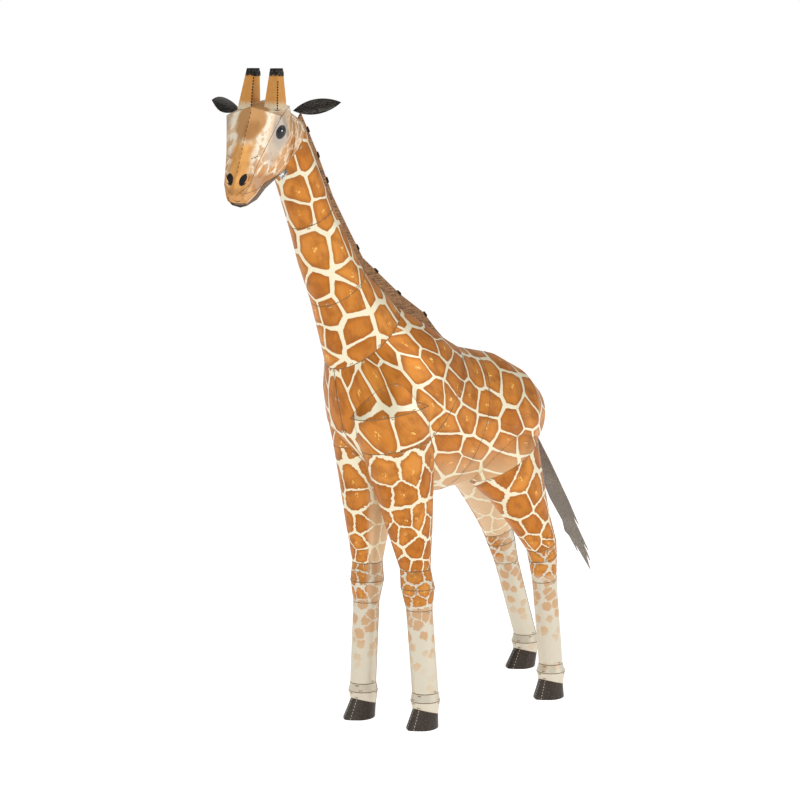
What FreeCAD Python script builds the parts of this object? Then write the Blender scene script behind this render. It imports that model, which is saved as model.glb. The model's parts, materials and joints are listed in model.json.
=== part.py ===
import FreeCAD
import Part
import Sketcher
import math
import os

# A standing giraffe folded and rolled from thin printed sheet steel. The animal faces -Y, its left side
# is +X, and its soles stand on z = 0. Every rolled shell follows elliptical rings, each named after
# its place on the animal.

doc = FreeCAD.newDocument("Giraffe")
dims = doc.addObject("Spreadsheet::Sheet", "Dims")

# Driving dimensions in millimetres and degrees.
GENERAL = {
    "steel": 0.25,
    "half_gap": 0.04,
    "big": 160.0,
}

# Rings of the neck and trunk, head end first. Each is given by its foremost (or lowest) point,
# its rearmost (or highest) point, both on the middle plane, and its half width.
TRUNK_FIELDS = ("front_y", "front_z", "back_y", "back_z", "half_width")
TRUNK = {
    "poll": (-52.5, 146.5, -44.8, 157.8, 5.1),
    "throat": (-49.6, 140.6, -40.8, 148.0, 5.6),
    "nape": (-45.9, 131.2, -35.5, 137.2, 5.8),
    "mid_neck": (-42.3, 121.3, -30.6, 129.0, 6.7),
    "low_neck": (-37.8, 111.5, -25.3, 120.7, 7.4),
    "neck_base": (-32.8, 95.3, -12.6, 110.0, 9.0),
    "breast": (-31.6, 87.5, -3.3, 105.0, 13.4),
    "withers": (-29.4, 79.0, 2.7, 101.3, 15.6),
    "shoulder_line": (-19.0, 68.0, 7.7, 98.8, 15.1),
    "belly": (-8.0, 61.5, 10.8, 97.3, 14.6),
    "flank_line": (1.5, 59.8, 15.0, 96.3, 14.6),
    "loin": (14.0, 60.5, 24.5, 94.3, 14.6),
    "haunch": (26.3, 62.2, 33.4, 90.0, 13.5),
    "croup": (33.6, 65.2, 39.5, 85.0, 10.1),
    "dock": (38.6, 69.8, 41.6, 79.4, 4.2),
}
NECK_PIECES = (
    ("neck_upper", "poll", "nape"),
    ("neck_middle", "nape", "low_neck"),
    ("neck_lower", "low_neck", "neck_base"),
)
TRUNK_PIECES = (
    ("chest", "neck_base", "shoulder_line"),
    ("barrel", "shoulder_line", "flank_line"),
    ("rump", "flank_line", "dock"),
)

# Rings of a front and a hind leg, top first: height, half depth, half width, tilt (rear up).
LEG_FIELDS = ("height", "half_depth", "half_width", "tilt")
FRONT = {
    "front_crest": (95.0, 9.0, 7.2, 10.0),
    "front_shoulder": (85.0, 13.2, 9.7, 10.0),
    "front_arm": (75.5, 10.8, 8.0, 10.0),
    "front_elbow": (66.0, 8.8, 7.1, 4.0),
    "front_forearm": (53.0, 6.4, 5.5, 0.0),
    "front_knee_top": (42.0, 4.1, 3.9, 0.0),
    "front_knee": (37.0, 4.5, 4.4, 0.0),
    "front_knee_low": (31.3, 3.5, 3.4, 0.0),
    "front_fetlock_top": (9.3, 3.5, 3.4, 0.0),
    "front_fetlock": (7.1, 3.95, 3.85, 0.0),
    "front_coronet": (4.1, 3.5, 3.4, -17.0),
}
HIND = {
    "hind_hip": (77.0, 13.6, 8.8, 20.0),
    "hind_stifle": (67.0, 12.6, 8.2, 25.0),
    "hind_thigh": (58.0, 8.6, 7.0, 20.0),
    "hind_gaskin": (49.0, 5.9, 5.1, 20.0),
    "hind_hock_top": (42.0, 4.4, 4.1, 20.0),
    "hind_hock": (38.5, 4.0, 3.9, 15.0),
    "hind_hock_low": (32.3, 3.4, 3.3, 8.0),
    "hind_fetlock_top": (9.3, 3.3, 3.2, 0.0),
    "hind_fetlock": (7.1, 3.95, 3.85, 0.0),
    "hind_coronet": (4.1, 3.5, 3.4, -17.0),
}

# The pieces of each kind of leg and the rings they run between.
FRONT_PIECES = (
    ("shoulder_upper", "front_crest", "front_shoulder"),
    ("shoulder_lower", "front_shoulder", "front_arm"),
    ("upper_leg", "front_arm", "front_knee_top"),
    ("knee_upper", "front_knee_top", "front_knee"),
    ("knee_lower", "front_knee", "front_knee_low"),
    ("cannon", "front_knee_low", "front_fetlock_top"),
    ("fetlock_upper", "front_fetlock_top", "front_fetlock"),
    ("fetlock_lower", "front_fetlock", "front_coronet"),
)
HIND_PIECES = (
    ("hip", "hind_hip", "hind_stifle"),
    ("thigh", "hind_stifle", "hind_hock_top"),
    ("hock_upper", "hind_hock_top", "hind_hock"),
    ("hock_lower", "hind_hock", "hind_hock_low"),
    ("cannon", "hind_hock_low", "hind_fetlock_top"),
    ("fetlock_upper", "hind_fetlock_top", "hind_fetlock"),
    ("fetlock_lower", "hind_fetlock", "hind_coronet"),
)
COPED = ("shoulder_upper", "shoulder_lower", "upper_leg", "hip", "thigh")

# Each leg's middle line runs from the trunk through the knee or hock to the fetlock, then straight down.
# The sole lies ahead of that line.
STANCE_FIELDS = ("top_x", "top_y", "top_z", "joint_x", "joint_y", "joint_z", "foot_x", "foot_y", "foot_z",
                 "sole_ahead")
STANCE = {
    "front_left": (6.5, -15.4, 70.0, 8.1, -10.7, 37.0, 9.5, -9.3, 9.0, 1.3),
    "front_right": (-6.5, -13.7, 70.0, -8.1, -12.9, 37.0, -9.5, -13.1, 9.0, 1.7),
    "hind_left": (7.5, 26.0, 61.0, 11.0, 34.9, 41.5, 13.6, 36.0, 9.0, 0.9),
    "hind_right": (-7.5, 31.0, 61.0, -11.0, 41.8, 42.0, -13.6, 56.6, 9.0, 2.2),
}

HOOF = {
    "sole_half_depth": 4.6,
    "sole_half_width": 4.0,
}

# The head has its own frame: x to its left, y to its back, z up, about a point between the ears.
HEAD = {
    "head_y": -52.3,
    "head_z": 151.0,
    "head_yaw": 12.0,
    "horn_side": 3.85,
    "horn_back": -5.4,
    "horn_foot": 9.6,
    "horn_tall": 9.7,
    "horn_base": 2.8,
    "horn_tip": 1.55,
    "horn_top_side": 3.4,
    "horn_top_back": -4.1,
    "ear_side": 7.9,
    "ear_back": -3.9,
    "ear_rise": 9.3,
    "ear_long": 12.0,
    "ear_wide": 3.6,
    "ear_curl": 3.0,
    "ear_sweep": 20.0,
    "ear_lift": 10.0,
}
SECTION_FIELDS = ("front_y", "front_z", "back_y", "back_z", "corner", "corner_at", "side", "side_at",
                  "lower", "lower_at")
SKULL = {
    "skull_rear": (-3.0, 11.8, -1.6, -5.2, 6.2, 0.08, 7.3, 0.42, 5.4, 0.85),
    "brow": (-9.6, 10.2, -2.8, -7.0, 8.0, 0.12, 8.2, 0.42, 5.2, 0.87),
    "cheek": (-12.9, 2.4, -5.2, -8.0, 5.7, 0.10, 6.4, 0.50, 4.5, 0.88),
    "nose_bridge": (-14.7, -2.0, -8.8, -9.8, 4.4, 0.08, 5.0, 0.50, 3.6, 0.90),
    "muzzle": (-16.6, -7.2, -11.4, -12.2, 3.7, 0.12, 4.1, 0.50, 3.1, 0.86),
    "lips": (-17.2, -10.2, -14.6, -13.4, 2.6, 0.15, 2.9, 0.50, 2.1, 0.85),
}

# Folds that part the head's shell: a point on each fold's plane and the plane's turn about x.
FOLD_FIELDS = ("y", "z", "turn")
FOLDS = {
    "face_fold": (-8.9, 7.9, -24.2),
    "jaw_fold": (-17.2, -10.2, -71.0),
}

# How far the mane stands out behind each ring of the neck.
MANE = {
    "poll": 1.8,
    "throat": 2.9,
    "nape": 2.8,
    "mid_neck": 3.1,
    "low_neck": 3.3,
    "neck_base": 4.2,
    "breast": 3.6,
    "withers": 1.8,
    "shoulder_line": 0.3,
}
MANE_PIECES = (
    ("mane_upper", "poll", "mid_neck"),
    ("mane_lower", "mid_neck", "shoulder_line"),
)

TAIL = {
    "tail_root_y": 38.4,
    "tail_root_z": 77.0,
    "tail_long": 57.6,
    "tail_half_width": 3.4,
    "tail_hang": 31.8,
}


def fill_sheet():
    """Writes every driving dimension to the sheet, one row each."""
    values = dict(GENERAL)
    for table, fields in ((TRUNK, TRUNK_FIELDS), (SKULL, SECTION_FIELDS), (FRONT, LEG_FIELDS),
                          (HIND, LEG_FIELDS), (STANCE, STANCE_FIELDS), (FOLDS, FOLD_FIELDS)):
        for name, numbers in table.items():
            for field, number in zip(fields, numbers):
                values[f"{name}_{field}"] = number
    for table in (HOOF, HEAD, TAIL):
        values.update(table)
    values.update({f"{name}_mane": rise for name, rise in MANE.items()})
    for row, (alias, value) in enumerate(values.items(), start=1):
        dims.set(f"A{row}", alias)
        dims.set(f"B{row}", str(value))
        dims.setAlias(f"B{row}", alias)
    doc.recompute()


def ellipse(name, depth, width, place):
    """One elliptical ring whose long radius runs front to back."""
    ring = doc.addObject("Part::Ellipse", name)
    ring.MajorRadius = 100
    ring.setExpression("MajorRadius", depth)
    ring.setExpression("MinorRadius", width)
    ring.setExpression("Placement", place)
    return ring


def ring_pair(name, depth, width, place):
    """The outer ring of a sheet shell and the inner one, a sheet's thickness smaller."""
    outer = ellipse(f"{name}_outer", f"({depth}) * 1mm", f"({width}) * 1mm", place)
    inner = ellipse(f"{name}_inner", f"({depth} - Dims.steel) * 1mm", f"({width} - Dims.steel) * 1mm", place)
    return outer, inner


def spin(tilt):
    """Turns a ring's long radius to the front, then tips its rear up by the tilt."""
    return f"rotation(vector(1; 0; 0); {tilt}) * rotation(vector(0; 0; 1); -90)"


def plane_ring(name, width="half_width"):
    """Half depth, half width and placement of a ring through two points of the middle plane."""
    d = f"Dims.{name}"
    rise = f"({d}_back_z - {d}_front_z)"
    run = f"({d}_back_y - {d}_front_y)"
    centre = f"vector(0; ({d}_front_y + {d}_back_y) / 2; ({d}_front_z + {d}_back_z) / 2)"
    place = f"placement({centre}; {spin(f'atan2({rise}; {run})')})"
    return f"sqrt({run}^2 + {rise}^2) / 2", f"{d}_{width}", place


def leg_centre(leg, height, axis):
    """The middle line's x or y at a height, as an expression."""
    d = f"Dims.{leg}"
    upper = (f"{d}_joint_{axis} + ({d}_top_{axis} - {d}_joint_{axis})"
             f" * ({height} - {d}_joint_z) / ({d}_top_z - {d}_joint_z)")
    lower = (f"{d}_joint_{axis} + ({d}_foot_{axis} - {d}_joint_{axis})"
             f" * ({d}_joint_z - {height}) / ({d}_joint_z - {d}_foot_z)")
    foot = f"{height} > {d}_foot_z ? {lower} : {d}_foot_{axis}"
    return f"({height} > {d}_joint_z ? {upper} : ({foot}))"


def leg_ring(leg, ring):
    """A ring on a leg's middle line, at the height its name stands for."""
    d = f"Dims.{ring}"
    x = leg_centre(leg, f"{d}_height", "x")
    y = leg_centre(leg, f"{d}_height", "y")
    place = f"placement(vector({x}; {y}; {d}_height); {spin(f'{d}_tilt')})"
    return ring_pair(f"{leg}_{ring}", f"{d}_half_depth", f"{d}_half_width", place)


def loft(name, sections):
    """A closed solid of straight-ruled sheets through the rings, as rolled metal can take."""
    solid = doc.addObject("Part::Loft", name)
    solid.Sections = sections
    solid.Solid = True
    solid.Ruled = True
    return solid


def cut(name, base, tool):
    result = doc.addObject("Part::Cut", name)
    result.Base = base
    result.Tool = tool
    return result


def common(name, shapes):
    result = doc.addObject("Part::MultiCommon", name)
    result.Shapes = shapes
    return result


def shell(name, pairs):
    """A thin tube through ring pairs: the outer loft less the inner one."""
    outer = loft(f"{name}_skin", [pair[0] for pair in pairs])
    inner = loft(f"{name}_core", [pair[1] for pair in pairs])
    return outer, cut(f"{name}_tube", outer, inner)


def side_space(name, sign):
    """A large block on the left (+1) or right (-1) of the middle plane, clear of it by half the gap."""
    block = doc.addObject("Part::Box", name)
    for side in ("Length", "Width", "Height"):
        block.setExpression(side, "Dims.big * 2mm")
    start = "Dims.half_gap" if sign > 0 else "-Dims.half_gap - Dims.big * 2"
    block.setExpression("Placement.Base.x", f"({start}) * 1mm")
    block.setExpression("Placement.Base.y", "-Dims.big * 1mm")
    block.setExpression("Placement.Base.z", "-Dims.big * 1mm")
    return block


def stretch(table, first, last):
    """The names of a table's rings from first to last."""
    names = list(table)
    return names[names.index(first):names.index(last) + 1]


def build_neck(parts, rings):
    """Three rolled cones, one above the other."""
    for part, first, last in NECK_PIECES:
        parts[part] = shell(part, [rings[name] for name in stretch(TRUNK, first, last)])[1]


def build_trunk(parts, rings, sides):
    """Left and right shells of chest, barrel and rump. Returns the whole trunk as one filled form."""
    for part, first, last in TRUNK_PIECES:
        tube = shell(part, [rings[name] for name in stretch(TRUNK, first, last)])[1]
        for side, block in sides.items():
            parts[f"{part}_{side}"] = common(f"{part}_{side}", [tube, block])
    return loft("trunk_form", [rings[name][0] for name in stretch(TRUNK, "neck_base", "dock")])


def build_leg(parts, leg, rings, pieces, trunk):
    """One leg's rolled tubes, top first. Those that meet the trunk are coped on to it."""
    pairs = {name: leg_ring(leg, name) for name in rings}
    for piece, first, last in pieces:
        label = f"{leg}_{piece}"
        tube = shell(label, [pairs[name] for name in stretch(rings, first, last)])[1]
        if piece in COPED:
            tube = cut(f"{label}_coped", tube, trunk)
        parts[label] = tube
    return pairs[pieces[-1][2]]


def build_hoof(parts, leg, coronet):
    """A hollow hoof with a closed sole, its front sloping forward."""
    x = leg_centre(leg, "Dims.hind_coronet_height", "x")
    y = leg_centre(leg, "Dims.hind_coronet_height", "y")
    soles = []
    for kind, height, inset in (("outer", "0", "0"), ("inner", "Dims.steel", "Dims.steel")):
        place = f"placement(vector({x}; {y} - Dims.{leg}_sole_ahead; {height}); {spin('0')})"
        soles.append(ellipse(f"{leg}_sole_{kind}", f"(Dims.sole_half_depth - {inset}) * 1mm",
                             f"(Dims.sole_half_width - {inset}) * 1mm", place))
    form = loft(f"{leg}_hoof_form", [coronet[0], soles[0]])
    hollow = loft(f"{leg}_hoof_hollow", [coronet[1], soles[1]])
    parts[f"{leg}_hoof"] = cut(f"{leg}_hoof_shell", form, hollow)


def head_place(offset):
    """A placement in the head's own frame, turned and carried to where the head sits."""
    base = "placement(vector(0; Dims.head_y; Dims.head_z); rotation(vector(0; 0; 1); Dims.head_yaw))"
    return f"{base} * {offset}"


def head_block(fold, ahead):
    """A large block on one side of a fold's plane, in the head's frame."""
    block = doc.addObject("Part::Box", f"{fold}_{'ahead' if ahead else 'behind'}")
    for side in ("Length", "Width", "Height"):
        block.setExpression(side, "Dims.big * 1mm")
    hinge = f"placement(vector(0; Dims.{fold}_y; Dims.{fold}_z); rotation(vector(1; 0; 0); Dims.{fold}_turn))"
    depth = "-Dims.big" if ahead else "0"
    shift = f"placement(vector(-Dims.big / 2; {depth}; -Dims.big / 2); rotation(vector(0; 0; 1); 0))"
    block.setExpression("Placement", head_place(f"{hinge} * {shift}"))
    return block


def size(alias):
    """A driving dimension, read from the sheet."""
    return float(dims.get(alias))


def head_section(name, inset):
    """An eight-cornered section of the folded head: crown, front corners, sides, lower corners, chin."""
    front = FreeCAD.Vector(0, size(f"{name}_front_y"), size(f"{name}_front_z"))
    back = FreeCAD.Vector(0, size(f"{name}_back_y"), size(f"{name}_back_z"))
    down = (back - front).normalize()
    depth = (back - front).Length - 2 * inset
    front = front + down * inset
    half = [(0, 0)]
    for corner in ("corner", "side", "lower"):
        half.append((size(f"{name}_{corner}") - inset, size(f"{name}_{corner}_at") * depth))
    half.append((0, depth))
    outline = half + [(-x, along) for x, along in reversed(half[1:-1])]
    points = [front + down * along + FreeCAD.Vector(x, 0, 0) for x, along in outline]
    return Part.makePolygon(points + points[:1])


def head_solid(name, inset):
    """The head's form through all its sections."""
    feature = doc.addObject("Part::Feature", name)
    feature.Shape = Part.makeLoft([head_section(station, inset) for station in SKULL], True, True)
    feature.setExpression("Placement", head_place("placement(vector(0; 0; 0); rotation(vector(0; 0; 1); 0))"))
    return feature


def build_head(parts, poll):
    """Face panel, two cheeks, lower jaw and the back of the skull. Returns the head as one filled form."""
    form = head_solid("head_form", 0)
    tube = cut("head_tube", form, head_solid("head_hollow", size("steel")))
    behind_face = head_block("face_fold", False)
    above_jaw = head_block("jaw_fold", True)
    parts["face_panel"] = common("face_panel", [tube, head_block("face_fold", True)])
    parts["lower_jaw"] = common("lower_jaw", [tube, behind_face, head_block("jaw_fold", False)])
    for side, sign in (("left", 1), ("right", -1)):
        block = side_space(f"{side}_cheek_side", sign)
        start = "Dims.half_gap" if sign > 0 else "-Dims.half_gap - Dims.big * 2"
        corner = f"vector({start}; -Dims.big; -Dims.big)"
        block.setExpression("Placement", head_place(f"placement({corner}; rotation(vector(0; 0; 1); 0))"))
        parts[f"cheek_{side}"] = common(f"cheek_{side}", [tube, behind_face, above_jaw, block])
    depth, width, place = plane_ring("skull_rear", "side")
    rear = ring_pair("skull_rear", depth, width, head_place(place))
    parts["skull_back"] = shell("skull_back", [poll, rear])[1]
    return form


def square(name, radius, x, y, z):
    """A square outline of given corner radius in the head's frame, one side facing forward."""
    outline = doc.addObject("Part::RegularPolygon", name)
    outline.Polygon = 4
    outline.setExpression("Circumradius", f"({radius}) * 1mm")
    spot = f"placement(vector({x}; {y}; {z}); rotation(vector(0; 0; 1); 45))"
    outline.setExpression("Placement", head_place(spot))
    return outline


def build_horns(parts, head_form):
    """Two hollow square horns, tapering and leaning back, coped on to the head."""
    for side, sign in (("left", ""), ("right", "-")):
        solids = []
        for kind, inset, cap in (("outer", "0", "0"), ("inner", "Dims.steel", "Dims.steel")):
            x = f"{sign}Dims.horn_side"
            foot = square(f"horn_{side}_foot_{kind}", f"Dims.horn_base - {inset}", x,
                          "Dims.horn_back", f"Dims.horn_foot - {inset}")
            top = square(f"horn_{side}_top_{kind}", f"Dims.horn_tip - {inset}", f"{sign}Dims.horn_top_side",
                         "Dims.horn_top_back", f"Dims.horn_foot + Dims.horn_tall - {cap}")
            solids.append(loft(f"horn_{side}_{kind}", [foot, top]))
        hollow = cut(f"horn_{side}_hollow", solids[0], solids[1])
        parts[f"horn_{side}"] = cut(f"horn_{side}_coped", hollow, head_form)


def leaf_body(name, length, half_width):
    """A flat leaf between two equal arcs, padded both ways from the body's XZ plane."""
    body = doc.addObject("PartDesign::Body", name)
    sketch = body.newObject("Sketcher::SketchObject", f"{name}_outline")
    plane = [item for item in body.Origin.OriginFeatures if item.Role == "XZ_Plane"][0]
    sketch.AttachmentSupport = (plane, "")
    sketch.MapMode = "FlatFace"
    reach = HEAD["ear_long"]
    belly = HEAD["ear_wide"] / 2
    bend = ((reach / 2) ** 2 + belly ** 2) / (2 * belly)
    lean = math.atan2(bend - belly, reach / 2)
    above = Part.Circle(FreeCAD.Vector(reach / 2, belly - bend, 0), FreeCAD.Vector(0, 0, 1), bend)
    below = Part.Circle(FreeCAD.Vector(reach / 2, bend - belly, 0), FreeCAD.Vector(0, 0, 1), bend)
    sketch.addGeometry(Part.ArcOfCircle(above, lean, math.pi - lean), False)
    sketch.addGeometry(Part.ArcOfCircle(below, math.pi + lean, 2 * math.pi - lean), False)
    sketch.addConstraint(Sketcher.Constraint("Coincident", 0, 2, 1, 1))
    sketch.addConstraint(Sketcher.Constraint("Coincident", 0, 1, 1, 2))
    sketch.addConstraint(Sketcher.Constraint("Coincident", 0, 2, -1, 1))
    sketch.addConstraint(Sketcher.Constraint("PointOnObject", 0, 1, -1))
    reach_at = sketch.addConstraint(Sketcher.Constraint("DistanceX", 0, 2, 0, 1, reach))
    sketch.setExpression(f"Constraints[{reach_at}]", f"{length} * 1mm")
    radius = f"(({length} / 2)^2 + {half_width}^2) / (2 * {half_width}) * 1mm"
    for curve in (0, 1):
        bend_at = sketch.addConstraint(Sketcher.Constraint("Radius", curve, bend))
        sketch.setExpression(f"Constraints[{bend_at}]", radius)
    pad = body.newObject("PartDesign::Pad", f"{name}_pad")
    pad.Profile = sketch
    pad.Midplane = True
    pad.setExpression("Length", "Dims.ear_curl * 4mm")
    body.Tip = pad
    return body


def build_ears(parts):
    """Two leaf-shaped ears, each bent round a cylinder along its length."""
    for side, sign in (("left", 1), ("right", -1)):
        root = f"vector({sign} * Dims.ear_side; Dims.ear_back; Dims.ear_rise)"
        swing = f"rotation(vector(0; 0; 1); {90 - 90 * sign} + {sign} * Dims.ear_sweep)"
        base = f"placement({root}; {swing} * rotation(vector(0; 1; 0); -Dims.ear_lift))"
        leaf = leaf_body(f"ear_{side}_leaf", "Dims.ear_long", "(Dims.ear_wide / 2)")
        leaf.setExpression("Placement", head_place(base))
        rolls = []
        for kind, inset in (("outer", "0"), ("inner", "Dims.steel")):
            roll = doc.addObject("Part::Cylinder", f"ear_{side}_{kind}")
            roll.setExpression("Radius", f"(Dims.ear_curl - {inset}) * 1mm")
            roll.setExpression("Height", "Dims.ear_long * 1mm")
            shift = (f"placement(vector(0; {-sign} * (Dims.ear_curl - Dims.steel); 0);"
                     " rotation(vector(0; 1; 0); 90))")
            roll.setExpression("Placement", head_place(f"{base} * {shift}"))
            rolls.append(roll)
        bend = cut(f"ear_{side}_bend", rolls[0], rolls[1])
        behind = doc.addObject("Part::Box", f"ear_{side}_rear_half")
        for edge in ("Length", "Width", "Height"):
            behind.setExpression(edge, "Dims.ear_long * 2mm")
        start = f"{-sign} * (Dims.ear_curl - Dims.steel)" + ("" if sign > 0 else " - Dims.ear_long * 2")
        corner = f"vector(-Dims.ear_long / 2; {start}; -Dims.ear_long)"
        shift = f"placement({corner}; rotation(vector(0; 0; 1); 0))"
        behind.setExpression("Placement", head_place(f"{base} * {shift}"))
        parts[f"ear_{side}"] = common(f"ear_{side}", [leaf, bend, behind])


def build_mane(parts, rings):
    """Left and right strips of the mane, back to back on the middle plane, coped on to the neck."""
    neck_form = loft("neck_form", [rings[name][0] for name in stretch(TRUNK, "poll", "shoulder_line")])
    envelope = {}
    for name in MANE:
        d = f"Dims.{name}"
        rise = f"({d}_back_z - {d}_front_z)"
        run = f"({d}_back_y - {d}_front_y)"
        reach = f"({d}_mane / sqrt({run}^2 + {rise}^2))"
        centre = (f"vector(0; {d}_back_y - {run} * (1 / 4 - {reach} / 2);"
                  f" {d}_back_z - {rise} * (1 / 4 - {reach} / 2))")
        place = f"placement({centre}; {spin(f'atan2({rise}; {run})')})"
        depth = f"(sqrt({run}^2 + {rise}^2) / 4 + {d}_mane / 2) * 1mm"
        envelope[name] = ellipse(f"{name}_mane_ring", depth, f"{depth} / 2", place)
    for part, first, last in MANE_PIECES:
        form = loft(f"{part}_form", [envelope[name] for name in stretch(MANE, first, last)])
        crest = cut(f"{part}_crest", form, neck_form)
        for side, start in (("left", "Dims.half_gap"), ("right", "-Dims.half_gap - Dims.steel")):
            sheet = doc.addObject("Part::Box", f"{part}_{side}_sheet")
            sheet.setExpression("Length", "Dims.steel * 1mm")
            sheet.setExpression("Width", "Dims.big * 1mm")
            sheet.setExpression("Height", "Dims.big * 2mm")
            sheet.setExpression("Placement.Base.x", f"({start}) * 1mm")
            sheet.setExpression("Placement.Base.y", "-Dims.big / 2 * 1mm")
            parts[f"{part}_{side}"] = common(f"{part}_{side}", [crest, sheet])


def tail_outline():
    """The hanging strip's outline: smooth edges above, three ragged points on each side below."""
    right = [(0.35, 0), (0.6, 0.12), (0.85, 0.3), (1, 0.55), (0.97, 0.7), (0.68, 0.63), (0.75, 0.75),
             (0.8, 0.87), (0.52, 0.8), (0.55, 0.88), (0.5, 0.94), (0.35, 0.89), (0.05, 1)]
    left = [(0.4, 0.83), (0.5, 0.89), (0.68, 0.79), (0.95, 0.76), (0.7, 0.69), (1, 0.55), (0.85, 0.3),
            (0.6, 0.12), (0.35, 0)]
    across = TAIL["tail_half_width"]
    down = TAIL["tail_long"]
    points = [FreeCAD.Vector(x * across, -s * down, 0) for x, s in right]
    points += [FreeCAD.Vector(-x * across, -s * down, 0) for x, s in left]
    return points


def build_tail(parts):
    """A flat strip of bare steel hanging back from the rump, its end cut into ragged points."""
    body = doc.addObject("PartDesign::Body", "tail")
    sketch = body.newObject("Sketcher::SketchObject", "tail_outline")
    plane = [item for item in body.Origin.OriginFeatures if item.Role == "XZ_Plane"][0]
    sketch.AttachmentSupport = (plane, "")
    sketch.MapMode = "FlatFace"
    points = tail_outline()
    count = len(points)
    for index, point in enumerate(points):
        sketch.addGeometry(Part.LineSegment(point, points[(index + 1) % count]), False)
    for index in range(count):
        sketch.addConstraint(Sketcher.Constraint("Coincident", index, 2, (index + 1) % count, 1))
    pad = body.newObject("PartDesign::Pad", "tail_pad")
    pad.Profile = sketch
    pad.setExpression("Length", "Dims.steel * 1mm")
    body.Tip = pad
    body.setExpression("Placement", "placement(vector(0; Dims.tail_root_y; Dims.tail_root_z);"
                       " rotation(vector(1; 0; 0); Dims.tail_hang))")
    parts["tail"] = body


def export(parts):
    doc.recompute()
    for obj in doc.Objects:
        if "Invalid" in obj.State or "Error" in obj.State:
            raise RuntimeError(f"{obj.Name} failed: {obj.State}")
    os.makedirs("parts", exist_ok=True)
    for name, obj in parts.items():
        obj.Label = name
        shape = obj.Shape
        if shape.isNull() or not shape.isValid() or not shape.Solids:
            raise RuntimeError(f"{name} has no valid solid")
        shape.exportStep(f"parts/{name}.step")


fill_sheet()
parts = {}
trunk_rings = {name: ring_pair(name, *plane_ring(name)) for name in TRUNK}
sides = {"left": side_space("left_side", 1), "right": side_space("right_side", -1)}
build_neck(parts, trunk_rings)
trunk_form = build_trunk(parts, trunk_rings, sides)
for leg in STANCE:
    rings, pieces = (FRONT, FRONT_PIECES) if leg.startswith("front") else (HIND, HIND_PIECES)
    coronet = build_leg(parts, leg, rings, pieces, trunk_form)
    build_hoof(parts, leg, coronet)
head_form = build_head(parts, trunk_rings["poll"])
build_horns(parts, head_form)
build_ears(parts)
build_mane(parts, trunk_rings)
build_tail(parts)
export(parts)
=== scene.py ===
import json
import math

import bmesh
import bpy
from mathutils import Matrix, Vector
from mathutils.bvhtree import BVHTree

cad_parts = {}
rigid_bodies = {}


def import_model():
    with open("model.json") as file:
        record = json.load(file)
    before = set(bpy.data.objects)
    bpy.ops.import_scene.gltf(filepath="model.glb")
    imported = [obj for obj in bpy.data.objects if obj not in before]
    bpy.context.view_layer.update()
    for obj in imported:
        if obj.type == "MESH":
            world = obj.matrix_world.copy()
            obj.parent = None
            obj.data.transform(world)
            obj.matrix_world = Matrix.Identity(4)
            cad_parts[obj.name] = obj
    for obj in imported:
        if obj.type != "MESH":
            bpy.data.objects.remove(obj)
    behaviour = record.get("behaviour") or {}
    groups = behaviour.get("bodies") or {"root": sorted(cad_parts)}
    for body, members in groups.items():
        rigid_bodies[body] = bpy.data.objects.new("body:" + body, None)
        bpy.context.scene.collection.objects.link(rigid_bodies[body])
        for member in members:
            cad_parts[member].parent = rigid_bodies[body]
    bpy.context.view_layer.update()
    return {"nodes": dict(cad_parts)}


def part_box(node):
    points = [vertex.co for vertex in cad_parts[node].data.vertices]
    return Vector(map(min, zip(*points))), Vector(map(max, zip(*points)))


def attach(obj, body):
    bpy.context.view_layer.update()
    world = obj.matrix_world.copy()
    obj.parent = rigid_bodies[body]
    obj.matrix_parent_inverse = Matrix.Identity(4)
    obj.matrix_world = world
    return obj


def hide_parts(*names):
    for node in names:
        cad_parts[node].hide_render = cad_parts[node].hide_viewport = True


# A giraffe folded from printed sheet steel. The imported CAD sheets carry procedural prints, and the
# pieces made here add what the sheets hold: cut edges, tabs, seams, hooves, eyes, nostrils and folds.
# Lengths are in millimetres, turned to metres by MM. The animal faces -Y, and its left is +X.

MM = 0.001

# The new file's own objects go first, so that the scene holds the figure alone.
for item in list(bpy.data.objects):
    bpy.data.objects.remove(item)
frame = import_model()

NODES = frame["nodes"]
LEGS = ("front_left", "front_right", "hind_left", "hind_right")
SIDES = (("left", 1), ("right", -1))
HEAD_NODES = ("face_panel", "lower_jaw", "cheek_left", "cheek_right", "skull_back")
TRUNK_NODES = ("chest", "barrel", "rump")
TRUNK_PRINTED = ("shoulder_upper", "shoulder_lower", "hip")
SHIN_PARTS = ("knee", "hock", "cannon", "fetlock")

# The size of a patch of print on the neck and the trunk, and how many patches go round a leg.
NECK_PATCH = 7.0
TRUNK_PATCH = 7.1
LEG_AROUND = 6.9
SHIN_AROUND = 6.5

# Print colours, as sRGB bytes.
CREAM = (228, 219, 190)
PALE = (208, 201, 183)
PATCH_DEEP = (140, 74, 8)
PATCH_MID = (182, 106, 20)
PATCH_LIGHT = (208, 134, 50)
BELLY = (208, 172, 130)
FADED = (218, 190, 154)
FACE_CREAM = (246, 236, 214)
FLECK = (250, 206, 116)
TAN = (206, 154, 90)
FAWN = (190, 134, 74)
BROW_BROWN = (194, 146, 94)
BROW_CORE = (160, 110, 62)
BRIDGE = (228, 168, 96)
LIP_BROWN = (74, 58, 42)
JAW_GREY = (110, 95, 84)
JOWL = (166, 116, 74)
EYE_SHADE = (172, 162, 152)
MANE_BROWN = (146, 108, 76)
MANE_DARK = (98, 70, 48)
HOOF_DARK = (58, 51, 46)
HOOF_SPECK = (120, 106, 92)
STEEL_DARK = (44, 41, 38)


def linear(colour):
    """An sRGB byte colour as linear RGBA."""
    channels = [c / 255 for c in colour]
    bent = [c / 12.92 if c <= 0.04045 else ((c + 0.055) / 1.055) ** 2.4 for c in channels]
    return (*bent, 1.0)


# ------------ node graphs

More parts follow.
